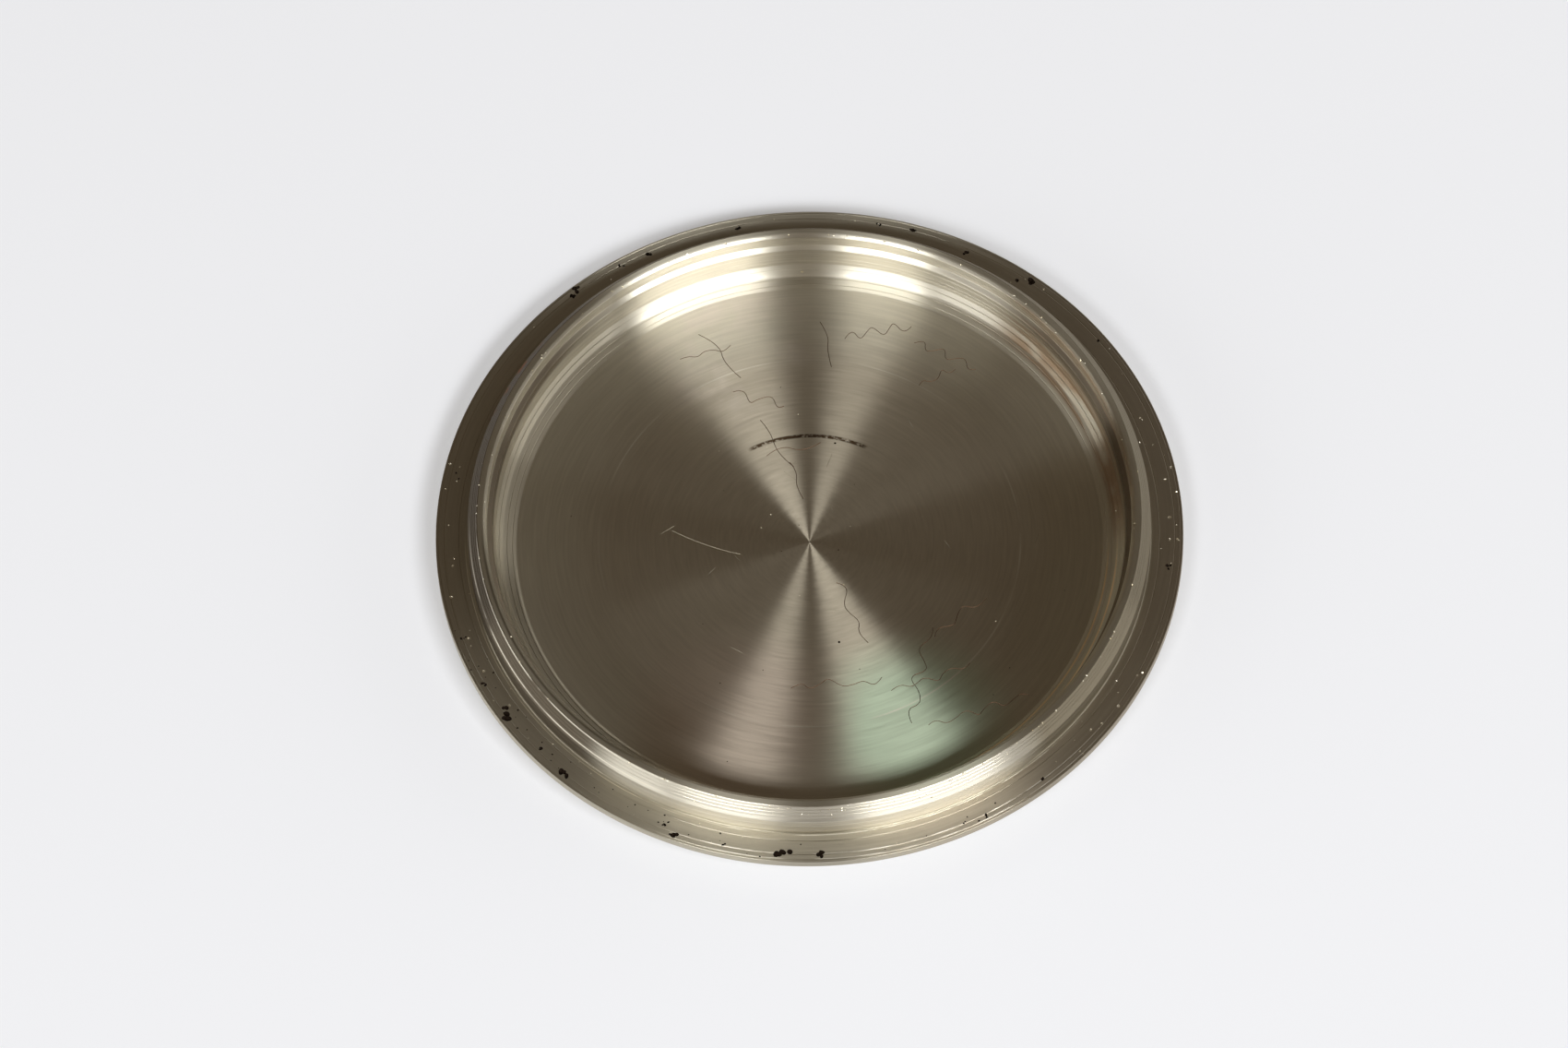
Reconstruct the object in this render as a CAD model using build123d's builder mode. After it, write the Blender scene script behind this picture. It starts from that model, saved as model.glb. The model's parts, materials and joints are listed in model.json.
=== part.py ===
"""Press-fit case back of a wrist watch, turned in one piece from stainless steel.

Millimetres.  +Z runs from the outer face towards the movement, and the origin is the
centre of the outer face, the flat that the back rests on when it lies open side up.
"""
import os

from build123d import *

# Overall
back_dia = 34.0  # across the flange
total_height = 3.145  # outer face to the top of the gripping ring

# Outer face and rim
floor_thickness = 0.58  # outer face to the floor of the recess
outer_bevel_width = 2.0  # sloping border between the outer face and the rim
rim_side = 0.42  # upright side of the flange's rim
edge_break = 0.05  # rounding on the turned corners

# Flange, the seat for the case
flange_width = 1.48  # rim to the foot of the gripping ring
recess_depth = 0.87  # flange down to the floor

# Gripping ring, which is pressed into the bore of the case
ring_wall = 0.87  # thickness at the foot
grip_height = 0.99  # upright gripping wall above the flange
grip_bevel_width = 0.11  # steep bevel over the gripping wall
grip_bevel_height = 0.14
ring_land = 0.29  # flat top of the ring, between its two bevels
mouth_bevel_width = 0.15  # small bevel at the mouth of the recess
mouth_bevel_height = 0.095

# Recess, the hollow that holds the back of the movement
ledge_height = 1.0  # ledge's outer edge above the flange
ledge_width = 0.24
ledge_drop = 0.15  # fall across the ledge
wall_taper = 0.12  # how far the wall under the ledge closes in
upper_cone_width = 0.32
upper_cone_height = 0.37
lower_cone_width = 0.62
lower_cone_height = 0.31
blend_width = 1.02  # nearly flat blend from the lower cone to the floor
blend_height = 0.04

# Radii, from the rim inwards
back_r = back_dia / 2
outer_face_r = back_r - outer_bevel_width
grip_r = back_r - flange_width
mouth_r = grip_r - ring_wall
land_inner_r = mouth_r + mouth_bevel_width
land_outer_r = land_inner_r + ring_land
ledge_r = mouth_r - ledge_width
cone_top_r = ledge_r - wall_taper
cone_mid_r = cone_top_r - upper_cone_width
cone_foot_r = cone_mid_r - lower_cone_width
floor_r = cone_foot_r - blend_width

# Heights, from the outer face upwards
flange_z = floor_thickness + recess_depth
rim_foot_z = flange_z - rim_side
grip_top_z = flange_z + grip_height
ledge_z = flange_z + ledge_height
cone_foot_z = floor_thickness + blend_height
cone_mid_z = cone_foot_z + lower_cone_height
cone_top_z = cone_mid_z + upper_cone_height

os.makedirs("parts", exist_ok=True)

with BuildPart() as case_back:
    # Half section, worked inside out: up the outside, over the ring, down into the recess.
    with BuildSketch(Plane.XZ) as half_section:
        with BuildLine():
            outside = Polyline(
                (0, 0),
                (outer_face_r, 0),
                (back_r, rim_foot_z),
                (back_r, flange_z),
                (grip_r, flange_z),
            )
            grip_ring = Polyline(
                outside @ 1,
                (grip_r, grip_top_z),
                (grip_r - grip_bevel_width, grip_top_z + grip_bevel_height),
                (land_outer_r, total_height),
                (land_inner_r, total_height),
                (mouth_r, total_height - mouth_bevel_height),
            )
            recess = Polyline(
                grip_ring @ 1,
                (mouth_r, ledge_z),
                (ledge_r, ledge_z - ledge_drop),
                (cone_top_r, cone_top_z),
                (cone_mid_r, cone_mid_z),
                (cone_foot_r, cone_foot_z),
                (floor_r, floor_thickness),
                (0, floor_thickness),
            )
            Line(recess @ 1, outside @ 0)
        make_face()
        rim_corners = half_section.vertices().group_by(Axis.X)[-1]
        ring_corners = half_section.vertices().group_by(Axis.Y)[-1]
        fillet(rim_corners + ring_corners, edge_break)
    revolve(axis=Axis.Z)
case_back.part.label = "case_back"
export_step(case_back.part, "parts/case_back.step")
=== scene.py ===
import json
from math import cos, pi, radians, sin, tan
from random import Random

import bmesh
import bpy
from mathutils import Matrix, Vector


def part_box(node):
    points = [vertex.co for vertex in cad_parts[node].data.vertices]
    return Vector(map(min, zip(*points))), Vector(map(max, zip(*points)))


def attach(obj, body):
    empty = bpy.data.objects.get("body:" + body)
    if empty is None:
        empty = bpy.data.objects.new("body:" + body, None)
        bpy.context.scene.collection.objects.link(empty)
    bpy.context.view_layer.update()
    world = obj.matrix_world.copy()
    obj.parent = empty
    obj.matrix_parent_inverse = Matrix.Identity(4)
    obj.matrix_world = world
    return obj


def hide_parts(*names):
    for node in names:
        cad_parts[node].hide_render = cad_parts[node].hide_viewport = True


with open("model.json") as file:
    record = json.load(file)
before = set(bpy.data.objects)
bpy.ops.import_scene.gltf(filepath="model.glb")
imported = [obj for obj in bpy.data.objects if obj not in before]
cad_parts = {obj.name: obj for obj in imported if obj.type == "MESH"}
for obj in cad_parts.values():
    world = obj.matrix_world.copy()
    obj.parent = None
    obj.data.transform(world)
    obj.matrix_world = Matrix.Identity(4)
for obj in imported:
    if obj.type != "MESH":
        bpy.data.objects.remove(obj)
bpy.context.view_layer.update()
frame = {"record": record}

# --- Case back -----------------------------------------------------------------------------
# The back of a wrist watch case, turned in one piece from stainless bar: a flat flange, a ring
# that is pressed into the case, and a shallow recess for the movement. It rests on its outer
# face, open side up.
mm = 0.001
highest_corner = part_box("case_back")[1]
rim_r = highest_corner[0]
ring_top = highest_corner[2]
mounts = {mount["name"]: mount for mount in frame["record"]["mounts"]}
flange_z = mounts["flange_seat"]["pos_m"][2]
ring_r = mounts["press_ring"]["dims"]["r_mm"] * mm
grip_top = flange_z + mounts["press_ring"]["dims"]["length_mm"] * mm
floor_z = 0.58 * mm
floor_r = 12.33 * mm
ring_wall = 0.87 * mm
mouth_r = ring_r - ring_wall
mouth_bevel = 0.15 * mm
ring_land = 0.29 * mm
groove_half_width = 0.025 * mm
groove_depth = 0.011 * mm
corner_radius = 0.035 * mm

# Half section from the centre of the outer face, up the outside, over the ring and down into the
# recess: radius, height, and where the tool left grooves, as shares of the way to the next corner.
outline = [
    (0, 0, (0.3, 0.62, 0.86)),
    (rim_r - 2.0 * mm, 0, (0.4, 0.75)),
    (rim_r, flange_z - 0.42 * mm, (0.5,)),
    (rim_r, flange_z, (0.08, 0.26, 0.72)),
    (ring_r, flange_z, (0.3, 0.66)),
    (ring_r, grip_top, ()),
    (ring_r - 0.11 * mm, grip_top + 0.14 * mm, (0.22, 0.5, 0.74)),
    (mouth_r + mouth_bevel + ring_land, ring_top, ()),
    (mouth_r + mouth_bevel, ring_top, ()),
    (mouth_r, ring_top - 0.095 * mm, (0.3, 0.68)),
    (mouth_r, flange_z + 1.0 * mm, ()),
    (mouth_r - 0.24 * mm, flange_z + 0.85 * mm, (0.25, 0.58, 0.8)),
    (mouth_r - 0.36 * mm, floor_z + 0.72 * mm, (0.5,)),
    (mouth_r - 0.68 * mm, floor_z + 0.35 * mm, (0.3, 0.7)),
    (floor_r + 1.02 * mm, floor_z + 0.04 * mm, ()),
    (floor_r, floor_z, ()),
    (0, floor_z, ()),
]

bm = bmesh.new()
corners = []
wire = []
for (r, z, grooves), (next_r, next_z, _) in zip(outline, outline[1:]):
    corner = Vector((r, 0, z))
    way = Vector((next_r, 0, next_z)) - corner
    into_metal = Vector((-way.z, 0, way.x)).normalized()
    corners.append(bm.verts.new(corner))
    wire.append(corners[-1])
    for share in grooves:
        middle = corner + way * share
        half = way.normalized() * groove_half_width
        wire.append(bm.verts.new(middle - half))
        wire.append(bm.verts.new(middle + into_metal * groove_depth))
        wire.append(bm.verts.new(middle + half))
wire.append(bm.verts.new((0, 0, floor_z)))
for a, b in zip(wire, wire[1:]):
    bm.edges.new((a, b))
bmesh.ops.bevel(
    bm, geom=corners[1:], offset=corner_radius, offset_type="OFFSET", affect="VERTICES",
    segments=3, profile=0.5, material=-1,
)
bmesh.ops.spin(
    bm, geom=bm.verts[:] + bm.edges[:], axis=(0, 0, 1), cent=(0, 0, 0), angle=2 * pi,
    steps=480, use_merge=True, use_duplicate=False,
)
bmesh.ops.remove_doubles(bm, verts=bm.verts, dist=0.0005 * mm)
bmesh.ops.recalc_face_normals(bm, faces=bm.faces)

# Walls and cones keep the first steel, and the flats get the others.
faced, gasket_seat, outer_face = 1, 2, 3
for face in bm.faces:
    if face.normal.z < -0.5:
        face.material_index = outer_face
    elif face.normal.z > 0.98:
        on_flange = face.calc_center_median().xy.length > ring_r
        face.material_index = gasket_seat if on_flange else faced
mesh = bpy.data.meshes.new("case_back_turned")
bm.to_mesh(mesh)
bm.free()
case_back = bpy.data.objects.new("case_back_turned", mesh)
bpy.context.scene.collection.objects.link(case_back)


def linear(hex_colour):
    """A scene-linear RGBA for an sRGB hex colour such as "8A8378"."""
    parts = [int(hex_colour[i : i + 2], 16) / 255 for i in (0, 2, 4)]
    return [p / 12.92 if p <= 0.04045 else ((p + 0.055) / 1.055) ** 2.4 for p in parts] + [1.0]


def add(tree, kind, settings=None, **links):
    """Adds a node, gives its settings and socket values, and links it to other nodes' outputs.

    A socket that is found by its place is given as a number, or as i and a number for a link.
    """
    node = tree.nodes.new(kind)
    for key, value in (settings or {}).items():
        if isinstance(key, str) and hasattr(node, key):
            setattr(node, key, value)
        else:
            node.inputs[key].default_value = value
    for name, output in links.items():
        by_place = name[0] == "i" and name[1:].isdigit()
        tree.links.new(output, node.inputs[int(name[1:]) if by_place else name])
    return node


def material(name):
    """A new named material with an empty node tree, and its output node."""
    made = bpy.data.materials.new(name)
    made.use_nodes = True
    made.node_tree.nodes.clear()
    return made, made.node_tree, made.node_tree.nodes.new("ShaderNodeOutputMaterial")


def place(bearing, r, z=0.0):
    """A point at a bearing, in degrees anticlockwise from +X, a radius and a height."""
    return Vector((r * cos(radians(bearing)), r * sin(radians(bearing)), z))


def turned_steel(name, roughness, anisotropy=1.0, with_stains_and_painted_light=True):
    """Stainless steel with fine circular tool marks: glossy along the marks and dull across them.

    It gives the eye bright wedges that meet at the centre of a flat, and bright bands on a wall.
    """
    steel, tree, out = material(name)
    point = add(tree, "ShaderNodeTexCoord").outputs["Object"]
    height = add(tree, "ShaderNodeSeparateXYZ", i0=point).outputs["Z"]
    flat = add(tree, "ShaderNodeVectorMath", {"operation": "MULTIPLY", 1: (1, 1, 0)}, i0=point).outputs[0]
    around = add(tree, "ShaderNodeVectorMath", {"operation": "NORMALIZE"}, i0=flat).outputs[0]
    radius = add(tree, "ShaderNodeVectorMath", {"operation": "LENGTH"}, i0=flat).outputs["Value"]
    soft = {"interpolation_type": "SMOOTHSTEP"}

    def sector(bearing, half_angle, fade):
        """A mask over the sector within half_angle of a bearing, in degrees."""
        settings = {"operation": "DOT_PRODUCT", 1: place(bearing, 1)}
        toward = add(tree, "ShaderNodeVectorMath", settings, i0=around).outputs["Value"]
        edges = {"From Min": cos(radians(half_angle + fade)), "From Max": cos(radians(half_angle))}
        return add(tree, "ShaderNodeMapRange", {**soft, **edges}, Value=toward).outputs[0]

    def band(low, high, fade):
        """A mask over the radii between low and high, in millimetres."""
        middle = (low + high) / 2 * mm
        gap = add(tree, "ShaderNodeMath", {"operation": "SUBTRACT", 1: middle}, i0=radius).outputs[0]
        gap = add(tree, "ShaderNodeMath", {"operation": "ABSOLUTE"}, i0=gap).outputs[0]
        edges = {"From Min": high * mm - middle + fade * mm, "From Max": high * mm - middle}
        return add(tree, "ShaderNodeMapRange", {**soft, **edges}, Value=gap).outputs[0]

    def patch(x, y, size):
        """A soft round mask about a point, in millimetres."""
        gap = add(tree, "ShaderNodeVectorMath", {"operation": "DISTANCE", 1: (x * mm, y * mm, 0)}, i0=flat)
        edges = {"From Min": size * mm, "From Max": 0.35 * size * mm}
        return add(tree, "ShaderNodeMapRange", {**soft, **edges}, Value=gap.outputs["Value"]).outputs[0]

    def blotches(size, low, high):
        """A mask of soft blotches about size millimetres across."""
        cloud = add(tree, "ShaderNodeTexNoise", {"Scale": 1 / (size * mm), "Detail": 3.0}, Vector=point)
        edges = {"From Min": low, "From Max": high}
        return add(tree, "ShaderNodeMapRange", {**soft, **edges}, Value=cloud.outputs[0]).outputs[0]

    def stain_and_painted_light(colour, hex_colour, *masks):
        """The colour, turned to another one where all the masks are 1."""
        cover = masks[0]
        for mask in masks[1:]:
            cover = add(tree, "ShaderNodeMath", {"operation": "MULTIPLY"}, i0=cover, i1=mask).outputs[0]
        settings = {"data_type": "RGBA", "clamp_factor": True, 7: linear(hex_colour)}
        return add(tree, "ShaderNodeMix", settings, i0=cover, i6=colour).outputs[2]

    # Tool marks are arcs 0.12 mm apart, drawn wider than the real feed of the lathe so that they show.
    feed = 0.12 * mm
    across = add(tree, "ShaderNodeMath", {"operation": "SUBTRACT"}, i0=radius, i1=height).outputs[0]
    across = add(tree, "ShaderNodeMath", {"operation": "DIVIDE", 1: feed}, i0=across).outputs[0]
    across = add(tree, "ShaderNodeCombineXYZ", Z=across).outputs[0]
    arc = add(tree, "ShaderNodeVectorMath", {"operation": "MULTIPLY_ADD", 1: (4, 4, 0)}, i0=around, i2=across)
    marks = add(
        tree, "ShaderNodeTexNoise", {"Scale": 1.0, "Detail": 3.0, "Roughness": 0.6}, Vector=arc.outputs[0]
    ).outputs[0]
    shade = add(
        tree, "ShaderNodeMapRange", {"From Min": 0.3, "From Max": 0.7, "To Min": 0.92, "To Max": 1.06},
        Value=marks,
    ).outputs[0]
    uneven = add(
        tree, "ShaderNodeMapRange",
        {"From Min": 0.3, "From Max": 0.7, "To Min": roughness * 0.94, "To Max": roughness * 1.06},
        Value=marks,
    ).outputs[0]

    colour = add(tree, "ShaderNodeRGB")
    colour.outputs[0].default_value = linear("C8C1AF")
    colour = colour.outputs[0]
    if with_stains_and_painted_light:
        # Thin films of old oil turn the floor a little brown, and in places greenish or pinkish.
        colour = stain_and_painted_light(colour, "BBB19E", band(0, 8.5, 3.5))
        colour = stain_and_painted_light(colour, "BDCBB2", patch(4.4, -9.6, 5.5))
        colour = stain_and_painted_light(colour, "CBBDAC", patch(-3.4, -9.2, 6.0))
        colour = stain_and_painted_light(colour, "CDC3B4", patch(-3.5, 10.5, 5.0), blotches(2, 0.45, 0.7))

        # Dried grime dulls the flange and the inner wall. The flange is darker still on the right.
        flange = band(15.6, 18, 0.05)
        colour = stain_and_painted_light(colour, "BEB7A6", flange)
        colour = stain_and_painted_light(colour, "AEA493", flange, sector(-15, 50, 25))
        colour = stain_and_painted_light(colour, "8A8272", band(13.5, 14.85, 0.1), sector(-150, 16, 16))
        edges = {"From Min": 0.35, "From Max": 0.6}
        some_marks = add(tree, "ShaderNodeMapRange", {**soft, **edges}, Value=marks).outputs[0]
        colour = stain_and_painted_light(colour, "A8927A", band(13.8, 14.6, 0.2), sector(26, 16, 16), some_marks)
        edges = {"From Min": flange_z + 0.05 * mm, "From Max": flange_z + 0.2 * mm}
        on_ring = add(tree, "ShaderNodeMapRange", {**soft, **edges}, Value=height).outputs[0]
        outside = band(15.08, 15.6, 0.03)
        # Painted shade: the outside of the ring is darker on the left and on the right.
        colour = stain_and_painted_light(colour, "746A5B", on_ring, outside, sector(178, 46, 20))
        colour = stain_and_painted_light(colour, "968C78", on_ring, outside, sector(30, 92, 16))
        # A narrow band inside the ring's mouth is darker everywhere but on the far side.
        colour = stain_and_painted_light(colour, "857A6A", on_ring, band(14.38, 14.62, 0.03), sector(-90, 125, 20))

        # Painted highlights: a lighter colour on the near outside of the ring and on the far inner wall, and
        # thin bright lines along the flange and the ring on the near right and the near left.
        colour = stain_and_painted_light(colour, "E8E1D0", on_ring, outside, sector(-90, 33, 10))
        colour = stain_and_painted_light(colour, "ECE6D6", band(13.9, 14.82, 0.08), sector(90, 33, 12))
        for line_r in (16.84, 16.58, 15.62):
            colour = stain_and_painted_light(
                colour, "FFFBEF", band(line_r, line_r, 0.04), sector(-75, 25, 15), blotches(1.5, 0.35, 0.6)
            )
        for line_r in (15.66, 15.43, 15.11):
            colour = stain_and_painted_light(
                colour, "F4EDDA", band(line_r, line_r, 0.035), sector(-146, 24, 14), blotches(2, 0.3, 0.5)
            )

        # Painted highlights: two thin brown-tinted bright lines at the foot of the inner wall on the near
        # right. Rust has started beside the ring.
        for line_r in (13.6, 14.0):
            colour = stain_and_painted_light(colour, "EED2A8", band(line_r, line_r, 0.07), sector(-38, 24, 14))
        colour = stain_and_painted_light(colour, "D6D0C0", band(9.6, 9.6, 0.06), blotches(3, 0.4, 0.7))
        colour = stain_and_painted_light(colour, "8A5A34", band(15.4, 15.75, 0.08), sector(149, 6, 3), blotches(0.8, 0.4, 0.6))
    colour = add(tree, "ShaderNodeVectorMath", {"operation": "SCALE"}, i0=colour, Scale=shade).outputs[0]
    if with_stains_and_painted_light:
        # A dark rubbed arc where a part of the movement has touched the floor.
        colour = stain_and_painted_light(
            colour, "504030", band(5.52, 5.62, 0.08), sector(89.5, 26, 4), blotches(0.2, 0.28, 0.56)
        )

    tangent = add(tree, "ShaderNodeTangent", {"direction_type": "RADIAL", "axis": "Z"})
    shader = add(
        tree, "ShaderNodeBsdfPrincipled",
        {"Metallic": 1.0, "Anisotropic": anisotropy, "Anisotropic Rotation": 0.25},
        Tangent=tangent.outputs[0], Roughness=uneven, **{"Base Color": colour},
    )
    tree.links.new(shader.outputs[0], out.inputs["Surface"])
    return steel


def bare_metal(name, hex_colour, roughness):
    """Metal without tool marks, where something has cut, dented or eaten the turned surface.

    Its grain is 0.08 mm across, which gives the eye a broken edge of light and dark.
    """
    metal, tree, out = material(name)
    point = add(tree, "ShaderNodeTexCoord").outputs["Object"]
    grain = add(tree, "ShaderNodeTexNoise", {"Scale": 1 / (0.08 * mm), "Detail": 2.0}, Vector=point)
    shade = add(tree, "ShaderNodeMapRange", {"To Min": 0.6, "To Max": 1.4}, Value=grain.outputs[0]).outputs[0]
    settings = {"operation": "SCALE", 0: linear(hex_colour)[:3]}
    colour = add(tree, "ShaderNodeVectorMath", settings, Scale=shade).outputs[0]
    shader = add(
        tree, "ShaderNodeBsdfPrincipled", {"Metallic": 1.0, "Roughness": roughness},
        **{"Base Color": colour},
    )
    tree.links.new(shader.outputs[0], out.inputs["Surface"])
    return metal


# Bored walls are the glossiest, faced flats a little duller, and the gasket seat dullest of all.
mesh.materials.append(turned_steel("bored steel", 0.325))
mesh.materials.append(turned_steel("faced steel", 0.385))
mesh.materials.append(turned_steel("gasket seat steel", 0.45, 0.87))
mesh.materials.append(turned_steel("outer face steel", 0.4, with_stains_and_painted_light=False))

# Years of wear are cut into the turned surface: rust pits where a gasket held sweat on the flange,
# bright dents along the edges, and hairline scratches on the floor.
chance = Random(11)
wear = [
    bare_metal("rust pit", "2A211A", 0.7),
    bare_metal("bare dent", "E2DBC9", 0.32),
    bare_metal("old scratch", "6A5240", 0.45),
    bare_metal("fresh scratch", "A79F8D", 0.35),
]
pit, dent, old_scratch, fresh_scratch = range(4)
cutters = bmesh.new()


def crumb(bearing, r, z, size, depth, kind):
    """Sinks a rough lump into the surface: radius, size across and depth in millimetres."""
    lump = bmesh.ops.create_icosphere(cutters, subdivisions=1, radius=1.0)["verts"]
    turn = Matrix.Rotation(chance.uniform(0, 2 * pi), 4, "Z")
    stretch = Matrix.Diagonal((size / 2 * mm * chance.uniform(0.9, 1.5), size / 2 * mm, depth * mm, 1))
    for vert in lump:
        vert.co *= chance.uniform(0.7, 1.2)
    spot = Matrix.Translation(place(bearing, r * mm, z))
    bmesh.ops.transform(cutters, matrix=spot @ turn @ stretch, verts=lump)
    for face in {face for vert in lump for face in vert.link_faces}:
        face.material_index = kind


def scratch(points, width, kind):
    """Cuts a hairline through points on the floor, given in millimetres."""
    curve = bpy.data.curves.new("scratch", "CURVE")
    curve.dimensions = "3D"
    curve.bevel_depth = width / 2 * mm
    curve.bevel_resolution = 0
    curve.resolution_u = 5
    curve.use_fill_caps = True
    spline = curve.splines.new("NURBS")
    spline.points.add(len(points) - 1)
    for point, (x, y) in zip(spline.points, points):
        point.co = (x * mm, y * mm, floor_z + 0.15 * width * mm, 1)
    spline.order_u = 3
    spline.use_endpoint_u = True
    drawn = bpy.data.objects.new("scratch", curve)
    tube = bpy.data.meshes.new_from_object(drawn)
    for face in tube.polygons:
        face.material_index = kind
    cutters.from_mesh(tube)
    bpy.data.objects.remove(drawn)
    bpy.data.meshes.remove(tube)
    bpy.data.curves.remove(curve)


def squiggle(bearing, r, length, heading, swing, waves):
    """A wavy hairline that starts at a bearing and radius and heads off in a direction."""
    start = place(bearing, r)
    ahead = place(heading, length)
    aside = place(heading + 90, swing)
    count = 3 * waves + 1
    points = []
    for i in range(count):
        t = i / (count - 1)
        wave = sin(2 * pi * waves * t) * chance.uniform(0.2, 1.1) + chance.uniform(-0.4, 0.4)
        spot = start + ahead * (t + chance.uniform(-0.3, 0.3) / count) + aside * wave
        points.append((spot.x, spot.y))
    scratch(points, 0.043, old_scratch)


def rust_pit(bearing, size):
    """Three small lumps side by side on the flange, which leave a ragged hole."""
    r = chance.uniform(16.3, 16.75)
    degrees_per_mm = 3.4
    for i in range(3):
        aside = size / 2 * chance.uniform(-1, 1) * degrees_per_mm
        lump_r = r + size / 3 * chance.uniform(-1, 1)
        crumb(bearing + aside, lump_r, flange_z, size * chance.uniform(0.4, 0.8), 0.1, pit)


# Pits and specks on the flange: bearing, and size in millimetres.
for bearing, size in (
    (-52, 0.196), (-63, 0.224), (-66.5, 0.168), (-90, 0.364), (-95, 0.476), (-96.2, 0.364), (-105, 0.224),
    (-113, 0.42), (-115, 0.224), (-133, 0.392), (-138.5, 0.224), (-146.6, 0.42), (-148, 0.336),
    (-153.5, 0.224), (-162.5, 0.196), (-8, 0.224), (128.5, 0.42), (129.4, 0.28), (120, 0.224),
    (115.5, 0.336), (100, 0.28), (77.5, 0.224), (72, 0.28), (62.5, 0.252), (53, 0.28), (51, 0.42),
    (36, 0.196),
):
    rust_pit(bearing, size)
for i in range(46):
    bearing = chance.gauss(-125, 28)
    crumb(bearing, chance.uniform(15.9, 16.9), flange_z, chance.uniform(0.05, 0.11), 0.05, pit)
for bearing in (
    -148, -155.5, -162, -170, -175.5, -183, -194, 48.5, 20, 10, 8, 5.5, 1, -3, -27.5, -28.3, -34.5, -38.5,
    -40.5, -44.5,
):
    crumb(bearing, chance.uniform(16.2, 16.85), flange_z, chance.uniform(0.1, 0.16), 0.035, dent)
for i in range(60):
    bearing = chance.uniform(0, 360)
    crumb(bearing, chance.uniform(15.7, 16.9), flange_z, chance.uniform(0.04, 0.08), 0.02, dent)

# Nicks along both edges of the ring's flat top and down its bevel, from fitting and prising.
just_under_top = ring_top - 0.02 * mm
for i in range(70):
    bearing = chance.gauss(95, 60)
    r = mouth_r / mm + chance.uniform(0.02, 0.2)
    crumb(bearing, r, just_under_top, chance.uniform(0.05, 0.12), 0.05, dent)
for i in range(50):
    bearing = chance.gauss(-100, 70)
    r = mouth_r / mm + chance.uniform(0.42, 0.5)
    crumb(bearing, r, just_under_top, chance.uniform(0.05, 0.1), 0.05, dent)
for i in range(45):
    share = chance.random()
    bearing = chance.gauss(-92, 16)
    bevel_z = ring_top - (1 - share) * 0.56 * mm
    crumb(bearing, ring_r / mm - 0.11 - 0.32 * share, bevel_z, chance.uniform(0.05, 0.1), 0.04, dent)

# Specks on the floor and on the cone around it.
for i in range(26):
    bearing = chance.uniform(0, 360)
    r = chance.uniform(1, 12)
    crumb(bearing, r, floor_z, chance.uniform(0.04, 0.07), 0.02, chance.choice((dent, pit)))
for bearing, r, size in (
    (90, 14.06, 0.15), (87.5, 14.12, 0.07), (4, 14.0, 0.08), (2, 14.1, 0.06), (-22, 14.05, 0.06),
):
    crumb(bearing, r, floor_z + (r - 13.35) * 0.62 * mm, size, 0.06, dent)
crumb(-77, 5.4, floor_z, 0.12, 0.04, pit)
crumb(76, 5.3, floor_z, 0.12, 0.04, pit)

# Watchmakers' hairlines on the floor: bearing, radius, length, heading, swing and waves.
for line in (
    (113, 12.0, 3.0, -52, 0.25, 1), (120, 11.4, 2.4, 12, 0.3, 2), (86, 11.8, 2.6, -80, 0.3, 1),
    (80, 11.0, 3.0, 8, 0.45, 3), (64, 11.6, 3.2, -30, 0.4, 3), (58, 9.6, 2.0, 20, 0.35, 2),
    (112, 8.8, 2.6, -20, 0.5, 2), (108, 6.8, 2.8, -60, 0.3, 1), (112, 5.0, 2.6, 10, 0.3, 1),
    (100, 4.4, 2.2, -75, 0.25, 1), (-60, 2.4, 3.4, -70, 0.35, 2), (-40, 7.2, 5.0, -105, 0.5, 3),
    (-62, 10.8, 5.5, 14, 0.45, 4), (-66, 8.6, 3.8, 20, 0.35, 3), (-98, 7.6, 4.2, 4, 0.4, 3),
    (-22, 8.4, 3.0, -140, 0.4, 2),
):
    squiggle(*line)
scratch([place(-170, 3.2)[:2], place(-178, 4.7)[:2], place(-187, 6.3)[:2]], 0.035, fresh_scratch)
for i in range(12):
    start = place(chance.uniform(0, 360), chance.uniform(2, 11))
    end = start + place(chance.uniform(0, 360), chance.uniform(0.3, 0.9))
    scratch([start[:2], end[:2]], 0.025, fresh_scratch)

# A tube's caps are loose until its doubles are merged.
bmesh.ops.remove_doubles(cutters, verts=cutters.verts, dist=0.0001 * mm)
bmesh.ops.recalc_face_normals(cutters, faces=cutters.faces)
cutter_mesh = bpy.data.meshes.new("wear")
cutters.to_mesh(cutter_mesh)
cutters.free()
for metal in wear:
    cutter_mesh.materials.append(metal)
cutter = bpy.data.objects.new("wear", cutter_mesh)
bpy.context.scene.collection.objects.link(cutter)
cut = case_back.modifiers.new("wear", "BOOLEAN")
cut.operation = "DIFFERENCE"
cut.object = cutter
cut.solver = "EXACT"
cut.use_self = True
cut.material_mode = "TRANSFER"
worn = bpy.data.meshes.new_from_object(case_back.evaluated_get(bpy.context.evaluated_depsgraph_get()))
case_back.modifiers.remove(cut)
case_back.data = worn
worn.name = "case_back_turned"
bpy.data.objects.remove(cutter)
bpy.data.meshes.remove(cutter_mesh)

# Shading runs smoothly round the turning, and breaks at its corners and at every cut.
wear_slots = {worn.materials.find(metal.name) for metal in wear}
bm = bmesh.new()
bm.from_mesh(worn)
for face in bm.faces:
    face.smooth = True
for edge in bm.edges:
    slots = {face.material_index for face in edge.link_faces}
    edge.smooth = not slots & wear_slots and edge.calc_face_angle(0) < radians(8)
bm.to_mesh(worn)
bm.free()

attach(case_back, "root")
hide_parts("case_back")

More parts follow.
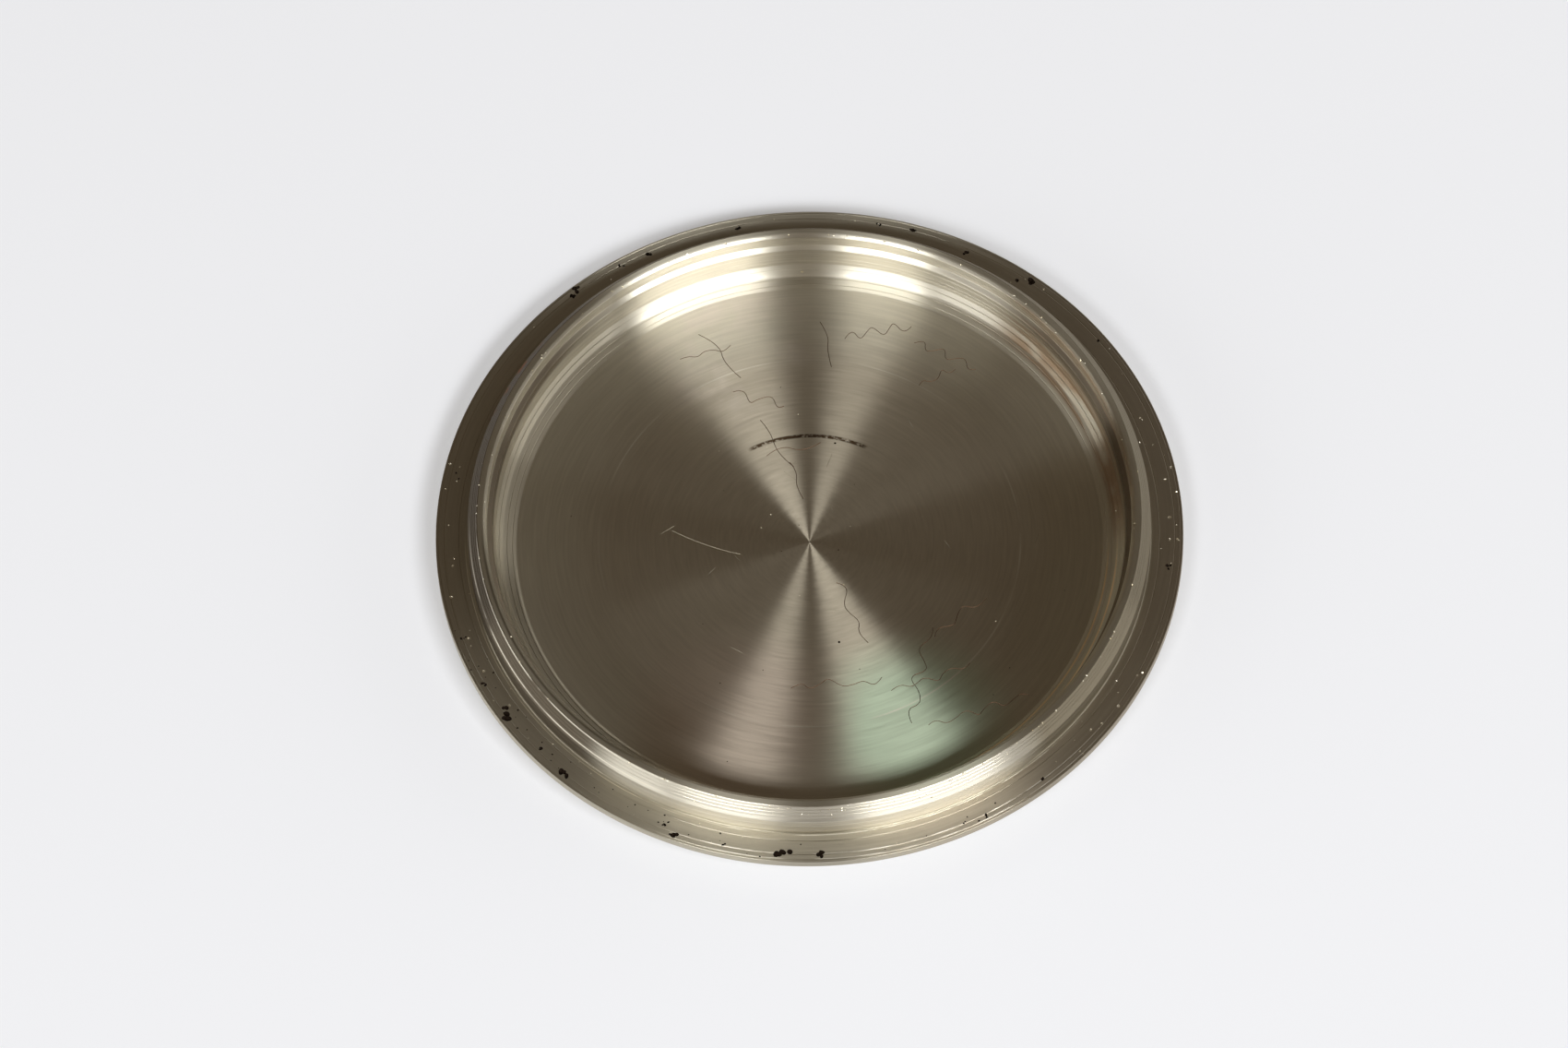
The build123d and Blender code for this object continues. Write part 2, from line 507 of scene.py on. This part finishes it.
# --- Paper ---------------------------------------------------------------------------------
# A large sheet of plain white paper for the back to lie on. It is matt, and it glows a little:
# painted light that lightens the shadows on it. It lies a hair under the outer face, so that the two don't
# coincide.
bm = bmesh.new()
gap = 0.01 * mm
bmesh.ops.create_grid(bm, x_segments=1, y_segments=1, size=1.5, matrix=Matrix.Translation((0, 0, -gap)))
mesh = bpy.data.meshes.new("paper")
bm.to_mesh(mesh)
bm.free()
paper = bpy.data.objects.new("paper", mesh)
bpy.context.scene.collection.objects.link(paper)
white, tree, out = material("white paper")
shader = add(tree, "ShaderNodeBsdfPrincipled", {
    "Base Color": linear("D2D3D8"), "Roughness": 0.9, "Specular IOR Level": 0.2,
    "Emission Color": linear("FFFFFF"), "Emission Strength": 0.25,
})
tree.links.new(shader.outputs[0], out.inputs["Surface"])
mesh.materials.append(white)

# --- Light ---------------------------------------------------------------------------------
# Two tall soft lights stand behind the camera, one on each side, in a dim brown room. Fainter
# ones stand low around the sheet, and lift the ring's walls where a window or a wall would.
world = bpy.data.worlds.new("dim room")
bpy.context.scene.world = world
world.use_nodes = True
world.node_tree.nodes["Background"].inputs["Color"].default_value = linear("5F5549")
world.node_tree.nodes["Background"].inputs["Strength"].default_value = 1.0
light_distance = 0.8
daylight = linear("FDFFFF")[:3]


def soft_light(name, left, right, low, high, radiance):
    """A soft light that faces the case back and fills a window in the room around it.

    left and right are degrees to the right of the camera, and low and high are elevations.
    """
    azimuth = radians((left + right) / 2)
    height = radians((low + high) / 2)
    data = bpy.data.lights.new(name, "AREA")
    data.shape = "RECTANGLE"
    data.size = 2 * light_distance * cos(height) * tan(radians(abs(right - left) / 2))
    data.size_y = 2 * light_distance * tan(radians((high - low) / 2))
    data.energy = radiance * pi * data.size * data.size_y
    data.color = daylight
    lamp = bpy.data.objects.new(name, data)
    toward = Vector((sin(azimuth) * cos(height), -cos(azimuth) * cos(height), sin(height)))
    lamp.location = toward * light_distance
    lamp.rotation_euler = toward.to_track_quat("Z", "Y").to_euler()
    lamp.visible_camera = False
    bpy.context.scene.collection.objects.link(lamp)


soft_light("right_light", 13, 54, 40, 53, 17.5)
soft_light("left_light", -39, -13, 40, 53, 14.8)
soft_light("left_beside", -60, -39, 8, 34, 2.2)
soft_light("left_low", -100, -60, 2, 30, 1.6)
soft_light("right_low", 56, 100, 2, 30, 1.4)
soft_light("right_back", 100, 160, 2, 30, 0.8)

# --- Camera --------------------------------------------------------------------------------
# A long lens looks down on the open side from the front, rolled a little, with the case back
# just right of the middle of the picture.
camera_data = bpy.data.cameras.new("camera")
camera_data.sensor_width = 36
camera_data.lens = 307
camera_data.clip_start = 0.01
camera_data.clip_end = 10
camera = bpy.data.objects.new("camera", camera_data)
bpy.context.scene.collection.objects.link(camera)
elevation = radians(60.4)
distance = 0.608
roll = radians(-1.5)
away = Vector((0, -cos(elevation), sin(elevation)))
up = Vector((0, sin(elevation), cos(elevation)))
aim = Vector((-1.145 * mm, 0, flange_z)) + up * 0.411 * mm
camera.location = aim + away * distance
camera.rotation_euler = (
    away.to_track_quat("Z", "Y").to_matrix() @ Matrix.Rotation(roll, 3, "Z")
).to_euler()
bpy.context.scene.camera = camera
bpy.context.scene.view_settings.view_transform = "Standard"
